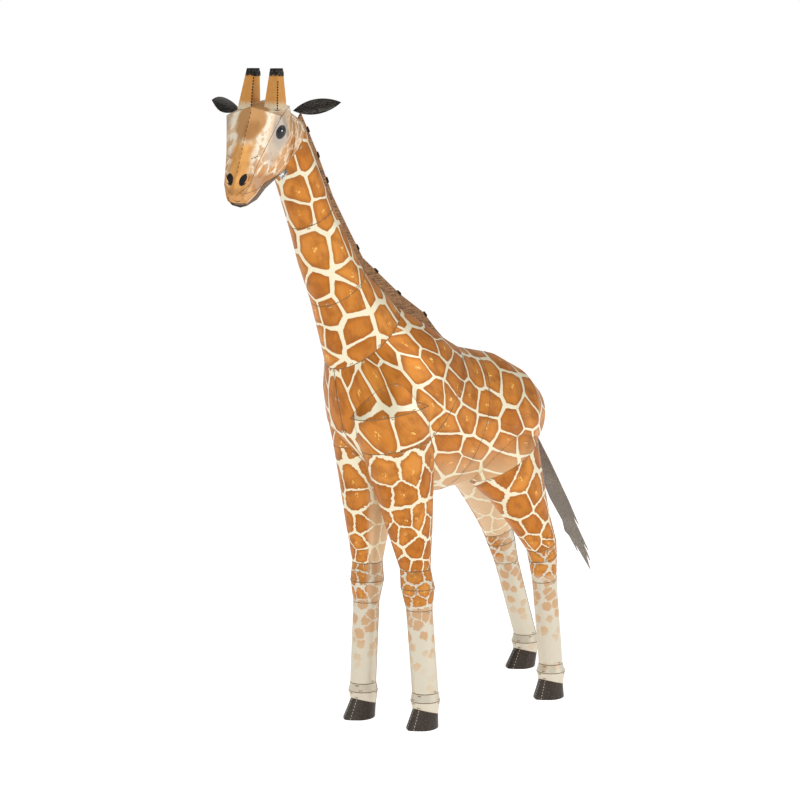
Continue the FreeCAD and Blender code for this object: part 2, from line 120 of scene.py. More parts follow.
class Graph:
    """Short calls for wiring one material's nodes. Values may be sockets or plain numbers."""

    def __init__(self, name):
        self.material = bpy.data.materials.new(name)
        self.material.use_nodes = True
        self.tree = self.material.node_tree
        self.tree.nodes.clear()

    def node(self, kind, inputs=(), **settings):
        made = self.tree.nodes.new(kind)
        for key, value in settings.items():
            setattr(made, key, value)
        for key, value in dict(inputs).items():
            self.put(made.inputs[key], value)
        return made

    def put(self, socket, value):
        if isinstance(value, bpy.types.NodeSocket):
            self.tree.links.new(value, socket)
        else:
            socket.default_value = value

    def math(self, operation, a, b=0.0):
        return self.node("ShaderNodeMath", {0: a, 1: b}, operation=operation).outputs[0]

    def plus(self, a, b):
        return self.math("ADD", a, b)

    def minus(self, a, b):
        return self.math("SUBTRACT", a, b)

    def times(self, first, *others):
        product = first
        for factor in others:
            product = self.math("MULTIPLY", product, factor)
        return product

    def vector(self, operation, a, b):
        return self.node("ShaderNodeVectorMath", {0: a, 1: b}, operation=operation).outputs["Vector"]

    def dot(self, a, b):
        made = self.node("ShaderNodeVectorMath", {0: a, 1: b}, operation="DOT_PRODUCT")
        return made.outputs["Value"]

    def scaled(self, a, factor):
        made = self.node("ShaderNodeVectorMath", {0: a, "Scale": factor}, operation="SCALE")
        return made.outputs["Vector"]

    def point(self, x, y, z=0.0):
        return self.node("ShaderNodeCombineXYZ", {0: x, 1: y, 2: z}).outputs[0]

    def axes(self, vector):
        return self.node("ShaderNodeSeparateXYZ", {0: vector}).outputs[:3]

    def span(self, value, low, high, out_low=0.0, out_high=1.0):
        """A smooth ramp between two limits."""
        limits = {0: value, 1: low, 2: high, 3: out_low, 4: out_high}
        return self.node("ShaderNodeMapRange", limits, interpolation_type="SMOOTHSTEP").outputs[0]

    def mix(self, factor, a, b):
        """Colour a turned towards colour b. A plain colour is in sRGB bytes."""
        made = self.node("ShaderNodeMix", {0: factor}, data_type="RGBA")
        for slot, colour in ((6, a), (7, b)):
            wired = isinstance(colour, bpy.types.NodeSocket)
            self.put(made.inputs[slot], colour if wired else linear(colour))
        return made.outputs[2]

    def cloud(self, vector, scale, detail=2.0):
        inputs = {"Vector": vector, "Scale": scale, "Detail": detail}
        return self.node("ShaderNodeTexNoise", inputs).outputs

    def noise(self, vector, scale, detail=2.0):
        return self.cloud(vector, scale, detail)[0]

    def grain(self, vector, stretch, detail):
        """Noise with its own scale along each axis."""
        return self.noise(self.vector("MULTIPLY", vector, stretch), 1.0, detail)

    def shaken(self, vector, by, scale, detail, amount):
        """A vector pushed about by the noise of another."""
        push = self.vector("SUBTRACT", self.cloud(by, scale, detail)["Color"], (0.5, 0.5, 0.5))
        return self.vector("ADD", vector, self.scaled(push, amount))

    def cells(self, vector, scale=1.0, feature="DISTANCE_TO_EDGE", **settings):
        inputs = {"Vector": vector, "Scale": scale, "Randomness": settings.pop("randomness", 1.0)}
        return self.node("ShaderNodeTexVoronoi", inputs, feature=feature, **settings).outputs

    def place(self):
        """The surface point in millimetres, in the figure's frame."""
        return self.scaled(self.node("ShaderNodeTexCoord").outputs["Object"], 1 / MM)

    def finish(self, colour, rough, metal=0.0, height=None, depth=0.02, coat=0.0):
        """Wires the surface: colour, roughness, metal, a bump with its depth in millimetres, a coat."""
        inputs = {"Base Color": colour, "Roughness": rough, "Metallic": metal, "Coat Weight": coat,
                  "Coat Roughness": 0.25, "Specular IOR Level": 0.2}
        if height is not None:
            relief = {"Height": height, "Strength": 1.0, "Distance": depth * MM}
            inputs["Normal"] = self.node("ShaderNodeBump", relief).outputs[0]
        shader = self.node("ShaderNodeBsdfPrincipled", inputs)
        out = self.node("ShaderNodeOutputMaterial")
        self.put(out.inputs[0], shader.outputs[0])
        return self.material


def reticulate(g, u, v, line, wobble=0.16, fringe=0.0, seed=0.0, round_off=0.08):
    """Giraffe patches over a flat map whose unit is one patch. Returns the mask (1 in a patch, 0 on a
    line), the distance to the patch's edge, its random tone, the distance to its heart, and the map."""
    flat = g.point(u, g.plus(v, seed))
    warped = g.shaken(flat, flat, 1.7, 2.0, wobble)
    if fringe:
        warped = g.shaken(warped, flat, 7.0, 1.0, fringe)
    scatter = {"randomness": 0.86, "voronoi_dimensions": "2D"}
    border = g.cells(warped, **scatter)["Distance"]
    cell = g.cells(warped, feature="F1", **scatter)
    heart = cell["Distance"]
    edge = g.minus(border, g.span(heart, 0.38, 0.85, 0.0, round_off))
    width = g.span(g.noise(flat, 0.9), 0.3, 0.7, line * 0.7, line * 1.3)
    mask = g.span(edge, g.times(width, 0.7), g.times(width, 1.3))
    tone = g.axes(cell["Color"])[0]
    return mask, edge, tone, heart, flat


def patch_colour(g, edge, tone, heart, flat, line):
    """One patch: a random brown, clouded, deeper at its rim, some with a bright fleck at the heart."""
    patch = g.mix(tone, PATCH_MID, PATCH_LIGHT)
    cloud = g.noise(flat, 1.9, 3.0)
    patch = g.mix(g.span(cloud, 0.4, 0.7, 0.0, 0.6), patch, PATCH_DEEP)
    patch = g.mix(g.span(edge, line, line + 0.2, 0.5, 0.0), patch, PATCH_DEEP)
    slender = g.grain(flat, (16.0, 9.0, 1.0), 1.0)
    near = g.span(heart, 0.05, 0.12, 1.0, 0.0)
    chosen = g.span(tone, 0.35, 0.4, 0.0, 0.85)
    return g.mix(g.times(near, g.span(slender, 0.5, 0.6), chosen), patch, FLECK)


def coat_colour(g, u, v, line, seed=0.0, fringe=0.0, pale=0.0, round_off=0.08, faded=BELLY):
    """The body print: patches on cream lines. Pale, from 0 to 1, turns the patches to a faded colour.
    Returns the colour, the patches' mask and the printed grain."""
    mask, edge, tone, heart, flat = reticulate(g, u, v, line, fringe=fringe, seed=seed,
                                               round_off=round_off)
    patch = g.mix(pale, patch_colour(g, edge, tone, heart, flat, line), faded)
    grain = g.grain(flat, (22.0, 2.2, 1.0), 3.0)
    patch = g.mix(g.span(grain, 0.35, 0.8, 0.0, 0.07), patch, CREAM)
    return g.mix(mask, CREAM, patch), mask, grain


def printed(g, colour, mask, grain):
    """Satin printed steel: ink stands a little proud where the mask is 1, on gently dented sheet."""
    dents = g.noise(g.place(), 0.22, 2.0)
    height = g.plus(g.times(mask, 0.35), g.times(dents, 2.2))
    rough = g.span(grain, 0.2, 0.8, 0.36, 0.52)
    return g.finish(colour, rough, 0.45, height, 0.05, 0.05)


# ------------ reading the CAD sheets

SHEET_CREASE = math.radians(40.0)


def span_of(node):
    """A node's lowest and highest corners in millimetres."""
    low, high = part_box(node)
    return low / MM, high / MM


def smooth_patch(start, seen):
    """All faces that join the start without a crease between."""
    patch = [start]
    seen.add(start.index)
    for face in patch:
        for edge in face.edges:
            if len(edge.link_faces) != 2 or edge.calc_face_angle(0.0) > SHEET_CREASE:
                continue
            for other in edge.link_faces:
                if other.index not in seen:
                    seen.add(other.index)
                    patch.append(other)
    return patch


def border_loops(patch):
    """A patch's border as loops of (point, outward normal, direction into the sheet)."""
    inside = set(patch)
    follow = {}
    for face in sorted(patch, key=lambda face: face.index):
        for loop in face.loops:
            if sum(other in inside for other in loop.edge.link_faces) == 1:
                follow[loop.vert] = loop
    loops = []
    while follow:
        _, loop = follow.popitem()
        chain = []
        while loop is not None:
            here = loop.vert.co.copy()
            there = loop.link_loop_next.vert
            run = (there.co - here).normalized()
            normal = loop.face.normal.copy()
            chain.append((here, normal, normal.cross(run)))
            loop = follow.pop(there, None)
        loops.append(chain)
    return loops


def sheet_loops(node):
    """The closed edge loops round a CAD sheet's outer face, its largest smooth patch, in metres."""
    mesh = bmesh.new()
    mesh.from_mesh(NODES[node].data)
    bmesh.ops.remove_doubles(mesh, verts=mesh.verts, dist=1e-6)
    mesh.normal_update()
    mesh.faces.index_update()
    seen = set()
    patches = [smooth_patch(face, seen) for face in mesh.faces if face.index not in seen]
    loops = border_loops(max(patches, key=lambda patch: sum(face.calc_area() for face in patch)))
    mesh.free()
    return loops


def thin_out(chain, step):
    """Drops points of a loop that lie closer than a step in millimetres."""
    kept = [chain[0]]
    for entry in chain[1:]:
        if (entry[0] - kept[-1][0]).length >= step * MM:
            kept.append(entry)
    return kept


def loop_length(chain):
    return sum((chain[i][0] - chain[i - 1][0]).length for i in range(len(chain))) / MM


def loop_centre(chain):
    return sum((entry[0] for entry in chain), Vector()) / len(chain) / MM


def loop_radius(chain):
    centre = loop_centre(chain) * MM
    return sum((entry[0] - centre).length for entry in chain) / len(chain) / MM


def by_height(chains):
    return sorted(chains, key=lambda chain: loop_centre(chain).z)


LOOPS = {name: sheet_loops(name) for name in sorted(NODES) if not name.startswith(("horn", "ear", "tail"))}


class Tube:
    """The straight axis of one or more rolled sheets, from their lowest ring to their highest."""

    def __init__(self, lowest, highest):
        low = by_height(LOOPS[lowest])[0]
        high = by_height(LOOPS[highest])[-1]
        self.foot = loop_centre(low)
        self.head = loop_centre(high)
        self.foot_radius = loop_radius(low)
        self.head_radius = loop_radius(high)
        self.length = (self.head - self.foot).length
        self.axis = (self.head - self.foot).normalized()


NECK = Tube("neck_lower", "neck_upper")


# ------------ piece making

class Heap:
    """Collects many small solids for one piece."""

    def __init__(self):
        self.points = []
        self.faces = []

    def sweep(self, sections, closed=False):
        """Joins equal outlines, one after another, into a bar. An open bar gets end caps."""
        base = len(self.points)
        sides = len(sections[0])
        for section in sections:
            self.points.extend(section)
        count = len(sections)
        for i in range(count if closed else count - 1):
            j = (i + 1) % count
            for k in range(sides):
                m = (k + 1) % sides
                self.faces.append((base + i * sides + k, base + i * sides + m,
                                   base + j * sides + m, base + j * sides + k))
        if not closed:
            last = base + (count - 1) * sides
            self.faces.append(tuple(base + k for k in range(sides)))
            self.faces.append(tuple(last + k for k in reversed(range(sides))))

    def bar(self, centre, along, up, length, width, height, sink=0.05):
        """A small plate in millimetres with bevelled upper edges, on a surface at a point in metres."""
        along = along.normalized()
        up = up.normalized()
        across = up.cross(along)
        bevel = height * 0.6
        outline = [(-0.5, -sink), (-0.5, bevel), (-0.34, height),
                   (0.34, height), (0.5, bevel), (0.5, -sink)]
        sections = []
        for end, shrink in ((-0.5, 0.7), (-0.42, 1.0), (0.42, 1.0), (0.5, 0.7)):
            spot = centre + along * (end * length * MM)
            wide = width * shrink * MM
            sections.append([spot + across * (x * wide) + up * (z * MM) for x, z in outline])
        self.sweep(sections)

    def make(self, name, coat):
        """The heap as a finished object on the root body."""
        mesh = bpy.data.meshes.new(name)
        mesh.from_pydata([tuple(p) for p in self.points], [], self.faces)
        mesh.validate()
        outward = bmesh.new()
        outward.from_mesh(mesh)
        bmesh.ops.recalc_face_normals(outward, faces=outward.faces)
        outward.to_mesh(mesh)
        outward.free()
        for polygon in mesh.polygons:
            polygon.use_smooth = True
        mesh.materials.append(COATS[coat])
        made = bpy.data.objects.new(name, mesh)
        bpy.context.scene.collection.objects.link(made)
        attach(made, "root")
        return made


def swept(name, sections, coat):
    """One piece made of a single open bar."""
    heap = Heap()
    heap.sweep(sections)
    return heap.make(name, coat)


def turns(count):
    """Equal steps round a full turn."""
    return [math.tau * step / count for step in range(count)]


# ------------ printed materials

def tube_map(g, tube, far_radius, around, zero):
    """Unrolls a cone with this many patches round it, from a seam that faces zero. The cone widens from
    the tube's foot radius to the far radius, and the patches grow with it."""
    back = (zero - tube.axis * zero.dot(tube.axis)).normalized()
    side = tube.axis.cross(back)
    offset = g.vector("SUBTRACT", g.place(), tuple(tube.foot))
    along = g.dot(offset, tuple(tube.axis))
    angle = g.math("ARCTAN2", g.dot(offset, tuple(side)), g.times(g.dot(offset, tuple(back)), -1))
    slope = (far_radius - tube.foot_radius) / tube.length
    radius = g.math("MAXIMUM", g.plus(g.times(along, slope), tube.foot_radius), 1.0)
    rolled = g.math("LOGARITHM", g.math("DIVIDE", radius, tube.foot_radius), math.e)
    density = around / math.tau
    return g.times(angle, density), g.times(rolled, density / slope), along


def sheet_map(g, tube, patch, squeeze=0.88):
    """Unrolls a narrowing cone flat, as its sheet was cut, with the seam at the back. Patches keep one
    size, a little longer than wide."""
    slope = (tube.foot_radius - tube.head_radius) / tube.length
    front = (Vector((0, -1, 0)) - tube.axis * -tube.axis.y).normalized()
    side = tube.axis.cross(front)
    offset = g.vector("SUBTRACT", g.place(), tuple(tube.foot))
    angle = g.math("ARCTAN2", g.dot(offset, tuple(side)), g.dot(offset, tuple(front)))
    to_tip = g.minus(tube.foot_radius / slope, g.dot(offset, tuple(tube.axis)))
    turn = g.times(angle, math.sin(math.atan(slope)))
    return (g.times(to_tip, g.math("SINE", turn), 1 / patch),
            g.times(to_tip, g.math("COSINE", turn), -squeeze / patch))


def neck_coat():
    g = Graph("neck_coat")
    u, v = sheet_map(g, NECK, NECK_PATCH)
    return printed(g, *coat_colour(g, u, v, 0.046, 3.3, round_off=0.075))


def trunk_coat():
    """The trunk bends about a line above the rump: u runs round it, alike on both sides, v along it."""
    g = Graph("trunk_coat")
    pivot_rise = 55.0
    stretch = 1.3
    low, high = span_of("rump_left")
    barrel_low, barrel_high = span_of("barrel_left")
    middle = (barrel_low + barrel_high) / 2
    pivot = Vector((0, high.y, high.z + pivot_rise))
    reach = math.hypot(middle.y - pivot.y, middle.z - pivot.z)
    x, y, z = g.axes(g.vector("SUBTRACT", g.place(), tuple(pivot)))
    out = g.minus(g.math("SQRT", g.plus(g.times(y, y), g.times(z, z))), reach)
    turn = g.math("ARCTAN2", g.math("ABSOLUTE", x), out)
    u = g.times(turn, (high.z - low.z) / 2 / TRUNK_PATCH)
    v = g.times(g.math("ARCTAN2", y, z), reach / TRUNK_PATCH / stretch)
    height = g.axes(g.place())[2]
    pale = g.span(height, low.z + 2.0, low.z + 15.0, 0.8, 0.0)
    return printed(g, *coat_colour(g, u, v, 0.034, 0.4, pale=pale, round_off=0.06))


# Where each leg's print turns pale: the way the pale side faces (inwards, back), and how near to that
# way the fade starts and ends.
PALE_SIDES = {
    "front_left": ((0.94, 0.34), 0.3, 0.62),
    "front_right": ((0.94, 0.34), 0.3, 0.62),
    "hind_left": ((1.0, 0.1), 0.45, 0.8),
    "hind_right": ((0.85, -0.53), 0.1, 0.45),
}


def is_front(leg):
    return leg.startswith("front")


def inwards(leg):
    return -1 if "left" in leg else 1


def seam_side(leg):
    """The way a leg's seam faces: inwards and a little back."""
    return Vector((inwards(leg), 0.6, 0))


def leg_coat(leg):
    """Above the knee or hock: patches that grow with the leg and turn pale on its inner side."""
    g = Graph(f"{leg}_coat")
    upper = f"{leg}_upper_leg" if is_front(leg) else f"{leg}_thigh"
    tube = Tube(upper, upper)
    widening = tube.head_radius - tube.foot_radius
    growth = 0.75 if is_front(leg) else 1.0
    far_radius = tube.foot_radius + widening * growth
    u, v, along = tube_map(g, tube, far_radius, LEG_AROUND, seam_side(leg))
    centre = g.vector("ADD", g.scaled(tuple(tube.axis), along), tuple(tube.foot))
    radius = g.plus(g.times(along, widening / tube.length), tube.foot_radius)
    (inner, back), start, end = PALE_SIDES[leg]
    offset = g.vector("SUBTRACT", g.place(), centre)
    side = g.math("DIVIDE", g.dot(offset, (inwards(leg) * inner, back, 0)), radius)
    height = g.axes(g.place())[2]
    below = g.span(height, tube.head.z - 4.0, tube.head.z + 2.0, 1.0, 0.0)
    pale = g.times(g.span(side, start, end, 0.0, 0.86), below)
    seed = 5.0 + LEGS.index(leg) * 3.7
    return printed(g, *coat_colour(g, u, v, 0.04, seed, 0.13, pale, 0.06, FADED))


def shin_print(leg):
    """Below the knee or hock: cream, with tan patches that fade out towards the fetlock."""
    g = Graph(f"{leg}_shin")
    tube = Tube(f"{leg}_cannon", f"{leg}_cannon")
    low, knee = span_of(f"{leg}_cannon")
    u, v, _ = tube_map(g, tube, tube.foot_radius * 1.04, SHIN_AROUND, seam_side(leg))
    seed = 2.0 + LEGS.index(leg) * 4.1
    mask, edge, tone, heart, flat = reticulate(g, u, v, 0.05, 0.4, 0.3, seed)
    height = g.axes(g.place())[2]
    turn = g.math("DIVIDE", g.math("ABSOLUTE", u), SHIN_AROUND / 2)
    strong = g.times(g.span(height, knee.z - 1.0, knee.z + 2.0), g.span(turn, 0.5, 0.75, 1.0, 0.0))
    fade = g.span(height, low.z + 3.0, knee.z - 1.0)
    knee_patch = g.mix(0.25, patch_colour(g, edge, tone, heart, flat, 0.1), TAN)
    islands = g.mix(strong, g.mix(fade, TAN, FAWN), knee_patch)
    size = g.plus(g.times(fade, 0.22), g.times(tone, 0.2))
    shore = g.minus(heart, g.plus(size, 0.18))
    gaps = g.times(g.span(edge, 0.02, 0.08), g.span(shore, -0.05, 0.05, 1.0, 0.0))
    chosen = g.span(g.plus(g.times(tone, 0.4), fade), 0.1, 0.8, 0.0, 0.68)
    share = g.math("MAXIMUM", g.times(gaps, chosen), g.times(mask, strong))
    speckle = g.noise(g.place(), 5.0, 4.0)
    ground = g.mix(g.span(speckle, 0.5, 0.75, 0.0, 0.35), PALE, TAN)
    return printed(g, g.mix(share, ground, islands), share, speckle)


def mane_print():
    """Brown print with fine hairs drawn across the strip."""
    g = Graph("mane_print")
    across = Vector((0, NECK.axis.z, -NECK.axis.y))
    place = g.place()
    away = g.dot(place, tuple(across))
    slant = g.plus(g.dot(place, tuple(NECK.axis)), g.times(away, 0.55))
    hair = g.noise(g.point(g.times(slant, 4.2), g.times(away, 0.25)), 1.0, 1.0)
    cross = g.noise(g.point(g.times(away, 3.0), g.times(slant, 0.6)), 1.0, 2.0)
    colour = g.mix(g.span(hair, 0.42, 0.58), MANE_DARK, MANE_BROWN)
    colour = g.mix(g.span(cross, 0.4, 0.7, 0.0, 0.3), colour, TAN)
    return g.finish(colour, g.span(hair, 0.3, 0.7, 0.42, 0.6), 0.2, hair, 0.05, 0.05)


def hoof_print():
    g = Graph("hoof_print")
    place = g.place()
    speck = g.noise(place, 5.0, 4.0)
    grain = g.grain(place, (3.0, 3.0, 0.7), 3.0)
    colour = g.mix(g.span(speck, 0.5, 0.72, 0.0, 0.7), HOOF_DARK, HOOF_SPECK)
    return g.finish(colour, g.span(grain, 0.3, 0.7, 0.4, 0.6), 0.2, grain, 0.04, 0.05)


def bare_steel(name, dark, light, along, rough=0.36):
    """Brushed sheet steel, its grain along a direction."""
    g = Graph(name)
    place = g.place()
    stretch = tuple(6.0 - 5.6 * abs(part) for part in along)
    grain = g.grain(place, stretch, 4.0)
    cloud = g.noise(place, 0.15, 2.0)
    colour = g.mix(g.span(grain, 0.3, 0.7), dark, light)
    colour = g.mix(g.span(cloud, 0.35, 0.65, 0.0, 0.35), colour, dark)
    return g.finish(colour, g.span(grain, 0.3, 0.7, rough - 0.08, rough + 0.1), 0.85, grain, 0.02)


def glossy(name, dark, light, rough):
    """Smooth glossy colour: dark print for the eyes and nostrils, and white for the eyes' glints, a painted
    highlight.
    """
    g = Graph(name)
    cloud = g.noise(g.place(), 3.0, 3.0)
    return g.finish(g.mix(g.span(cloud, 0.35, 0.65), dark, light), rough, 0.0, cloud, 0.01, 0.4)


# The horns' middle in the head's own frame: how far back it is, and how high their roots are.
HORN_BACK = -4.75
HORN_ROOT = 9.6


def head_frame():
    """The head's turned frame: its origin lies between the ears, x runs to the animal's left, y back."""
    horns = []
    for side, _ in SIDES:
        low, high = span_of(f"horn_{side}")
        horns.append((low + high) / 2)
    across = horns[0] - horns[1]
    yaw = math.atan2(across.y, across.x)
    middle = (horns[0] + horns[1]) / 2
    root = Vector((middle.x, middle.y, span_of("horn_left")[0].z))
    return root - Matrix.Rotation(yaw, 3, "Z") @ Vector((0, HORN_BACK, HORN_ROOT)), yaw


HEAD_ORIGIN, HEAD_YAW = head_frame()
HEAD_TURN = Matrix.Rotation(HEAD_YAW, 3, "Z")


def head_place(g):
    made = g.node("ShaderNodeMapping", {"Vector": g.place()}, vector_type="TEXTURE")
    made.inputs["Location"].default_value = HEAD_ORIGIN
    made.inputs["Rotation"].default_value = (0, 0, HEAD_YAW)
    return made.outputs[0]


def oval(g, x, z, centre, radii, soft):
    """1 inside an oval, fading to 0 outside."""
    a = g.math("DIVIDE", g.minus(x, centre[0]), radii[0])
    b = g.math("DIVIDE", g.minus(z, centre[1]), radii[1])
    reach = g.math("SQRT", g.plus(g.times(a, a), g.times(b, b)))
    return g.span(reach, 1 - soft, 1 + soft, 1.0, 0.0)


class Face:
    """The face's print: the graph with the head's axes, and the colour as it builds up. Side is the
    distance from the middle plane."""

    def __init__(self):
        g = Graph("face_print")
        self.g = g
        self.local = head_place(g)
        self.x, self.y, self.z = g.axes(self.local)
        self.side = g.math("ABSOLUTE", self.x)
        self.wave = g.times(g.minus(g.noise(self.local, 0.35), 0.5), 2.4)
        self.smear = g.grain(self.local, (0.7, 0.7, 0.34), 2.0)
        self.hair = g.grain(self.local, (2.2, 2.2, 0.8), 4.0)
        self.crown = g.span(self.z, 8.8, 9.8, 1.0, 0.2)
        self.colour = g.mix(g.span(self.hair, 0.35, 0.75, 0.0, 0.18), FACE_CREAM, TAN)

    def lay(self, share, colour):
        self.colour = self.g.mix(share, self.colour, colour)

    def cheeks(self):
        """Tan cells drawn out along the jaw, and tan smears on the temples."""
        g = self.g
        self.lay(g.times(g.span(self.side, 5.2, 6.2, 0.0, 0.45), self.crown), TAN)
        jaw_way = (0, 0.66, 0.75)
        drifted = g.vector("ADD", self.local, g.point(self.wave, self.wave, self.wave))
        along = g.scaled(jaw_way, g.times(g.dot(drifted, jaw_way), 0.5))
        gaps = g.cells(g.vector("SUBTRACT", drifted, along), 0.44)["Distance"]
        rear = g.span(g.minus(self.y, g.times(self.z, 0.35)), -9.5, -5.0)
        low = g.times(g.span(self.z, -4.0, 1.5, 1.0, 0.0), g.span(self.side, 2.6, 4.2))
        cheek = g.times(g.math("MAXIMUM", rear, low), self.crown)
        self.lay(g.times(g.span(gaps, 0.05, 0.13), cheek, 0.85), FAWN)
        self.lay(g.times(g.span(self.smear, 0.53, 0.57, 0.0, 0.5), g.span(cheek, 0.0, 0.3, 1.0, 0.0)), TAN)

    def bridge(self):
        """The orange bridge of the nose, browner on the snout and its sides."""
        g = self.g
        width = g.plus(self.side, g.times(self.wave, 0.8))
        bridge = g.times(g.span(width, 1.9, 3.9, 1.0, 0.0), g.span(self.z, 0.5, 3.5, 1.0, 0.0))
        bridge = g.math("MAXIMUM", bridge, g.span(self.z, -6.2, -4.4, 0.85, 0.0))
        snout = g.math("MAXIMUM", g.span(self.side, 3.0, 4.2), g.span(self.z, -9.4, -8.2, 0.5, 0.0))
        self.lay(bridge, g.mix(snout, BRIDGE, JOWL))
        self.lay(g.times(g.span(self.smear, 0.42, 0.6, 0.0, 0.5), g.span(self.z, 1.0, 4.0, 1.0, 0.0)), FAWN)

    def brow(self):
        """The brown oval on the forehead. Returns its share."""
        g = self.g
        x = g.plus(self.x, self.wave)
        z = g.plus(self.z, self.wave)
        brow = oval(g, x, z, (0.2, 6.9), (4.2, 4.6), 0.14)
        self.lay(brow, BROW_BROWN)
        self.lay(g.times(oval(g, x, z, (1.1, 4.6), (1.9, 2.6), 0.5), 0.7), BROW_CORE)
        return brow

    def eye_shade(self):
        """Grey round the eye, trailing down the cheek."""
        g = self.g
        socket = oval(g, self.y, self.z, (-8.0, 4.6), (2.9, 4.0), 0.4)
        self.lay(g.times(socket, g.span(self.side, 6.0, 6.9), 0.8), EYE_SHADE)
        slanted = g.plus(self.y, g.times(self.z, -0.3))
        trail = oval(g, slanted, self.z, (-9.6, 0.6), (1.9, 4.6), 0.4)
        self.lay(g.times(trail, g.span(self.side, 4.6, 6.0), 0.6), EYE_SHADE)

    def mouth(self):
        """A grey jaw below the mouth line, which runs steeply up the muzzle and then along the jaw, with
        a cream edge on the muzzle's sides. The chin's lowest edge is dark."""
        g = self.g
        muzzle_line = g.plus(g.times(self.y, 1.1), 1.1 * 15.0 - 12.6)
        jaw_line = g.plus(g.times(self.y, 0.35), 0.35 * 11.0 - 8.0)
        above = g.minus(self.z, g.math("MINIMUM", muzzle_line, jaw_line))
        above = g.plus(above, g.times(self.wave, 0.1))
        beside = g.math("ABSOLUTE", g.minus(above, 0.5))
        front = g.times(g.span(self.y, -12.5, -10.0, 0.75, 0.0), g.span(self.side, 2.3, 3.1))
        self.lay(g.times(g.span(beside, 0.12, 0.3, 1.0, 0.0), front), FACE_CREAM)
        self.lay(g.span(above, -0.1, 0.15, 1.0, 0.0), JAW_GREY)
        self.lay(g.span(g.math("ABSOLUTE", above), 0.08, 0.24, 0.85, 0.0), LIP_BROWN)
        self.lay(g.span(self.z, -13.1, -12.8, 0.9, 0.0), LIP_BROWN)


def face_print():
    """Cream with tan cheeks, an orange bridge, a brown brow, grey eye sockets and a grey jaw."""
    face = Face()
    face.cheeks()
    face.bridge()
    brow = face.brow()
    face.eye_shade()
    face.mouth()
    return printed(face.g, face.colour, brow, face.hair)


def horn_print():
    """Tan with faint net lines, a cream root and a dark tip."""
    g = Graph("horn_print")
    low, high = span_of("horn_left")
    place = g.place()
    height = g.axes(place)[2]
    hair = g.grain(place, (3.0, 3.0, 0.8), 4.0)
    net = g.cells(place, 0.35)["Distance"]
    colour = g.mix(g.span(net, 0.02, 0.08, 0.3, 0.65), TAN, PATCH_LIGHT)
    colour = g.mix(g.span(hair, 0.35, 0.7, 0.0, 0.5), colour, TAN)
    root = g.span(g.plus(height, g.times(hair, 2.4)), low.z + 1.6, low.z + 3.6, 0.8, 0.0)
    colour = g.mix(root, colour, CREAM)
    tip = g.span(g.plus(height, g.times(hair, 1.2)), high.z - 1.5, high.z - 0.7)
    return printed(g, g.mix(tip, colour, STEEL_DARK), hair, hair)


UPRIGHT = (0.0, 0.0, 1.0)
COATS = {
    "neck": neck_coat(),
    "trunk": trunk_coat(),
    "mane": mane_print(),
    "hoof": hoof_print(),
    "face": face_print(),
    "horn": horn_print(),
    "ear": bare_steel("ear_steel", (8, 7, 6), (76, 72, 67), (1.0, 0.3, 0.0)),
    "tail": bare_steel("tail_steel", (106, 98, 90), (162, 154, 144), (0.0, 0.5, 0.85)),
    "edge": bare_steel("cut_edge", (84, 62, 40), (170, 142, 108), UPRIGHT, 0.45),
    "tab": bare_steel("tab_steel", (128, 104, 74), (214, 198, 172), UPRIGHT, 0.4),
    "bright": bare_steel("bright_steel", (150, 150, 146), (226, 226, 222), (0.0, 0.7, 0.5), 0.34),
    "dash": bare_steel("fold_dash", (26, 22, 18), (60, 50, 40), UPRIGHT, 0.55),
    "chalk": bare_steel("hoof_dash", (168, 160, 148), (224, 218, 206), UPRIGHT, 0.5),
    "nostril": glossy("nostril_black", (4, 3, 3), (12, 9, 7), 0.7),
    "rim": glossy("eye_rim", (30, 26, 24), (70, 60, 54), 0.45),
    "iris": glossy("eye_iris", (14, 16, 24), (36, 40, 54), 0.3),
    "pupil": glossy("eye_black", (6, 7, 10), (16, 18, 26), 0.2),
    # The eyes' glints: white for a painted highlight.
    "glint": glossy("eye_glint", (214, 218, 224), (250, 250, 250), 0.3),
}
for each in LEGS:
    COATS[f"{each}_coat"] = leg_coat(each)
    COATS[f"{each}_shin"] = shin_print(each)


def coat_of(node):
    """The print a CAD sheet wears."""
    for kind in ("neck", "mane", "horn", "ear", "tail"):
        if node.startswith(kind):
            return COATS[kind]
    if node in HEAD_NODES:
        return COATS["face"]
    if node.startswith(TRUNK_NODES) or node.endswith(TRUNK_PRINTED):
        return COATS["trunk"]
    if node.endswith("hoof"):
        return COATS["hoof"]
    leg = next(leg for leg in LEGS if node.startswith(leg))
    return COATS[f"{leg}_shin" if any(part in node for part in SHIN_PARTS) else f"{leg}_coat"]


for node, shown in NODES.items():
    shown.data.materials.clear()
    shown.data.materials.append(coat_of(node))


# ------------ edges, tabs, seams

EDGE_WIDE = 0.1
EDGE_PROUD = 0.035
EDGE_STEP = 0.35
EDGE_FEWEST = 6
TAB_INSET = 0.5
NECK_TAB_SPACING = 9.0
TRUNK_TAB_SPACING = 12.0
LEG_TAB_SPACING = 9.0
MANE_TAB_START = 4.0
MANE_TAB_SPACING = 6.3
HOOF_ROWS = 6
HOOF_SIDES = 48
HOOF_DASHES = 7
HOOF_CREASE = math.radians(35)

GROUPS = {
    "neck": ("neck_upper", "neck_middle", "neck_lower"),
    "trunk": tuple(f"{part}_{side}" for part in TRUNK_NODES for side, _ in SIDES),
    "head": HEAD_NODES,
}
for each in LEGS:
    GROUPS[each] = tuple(name for name in sorted(NODES)
                         if name.startswith(each) and not name.endswith("hoof"))


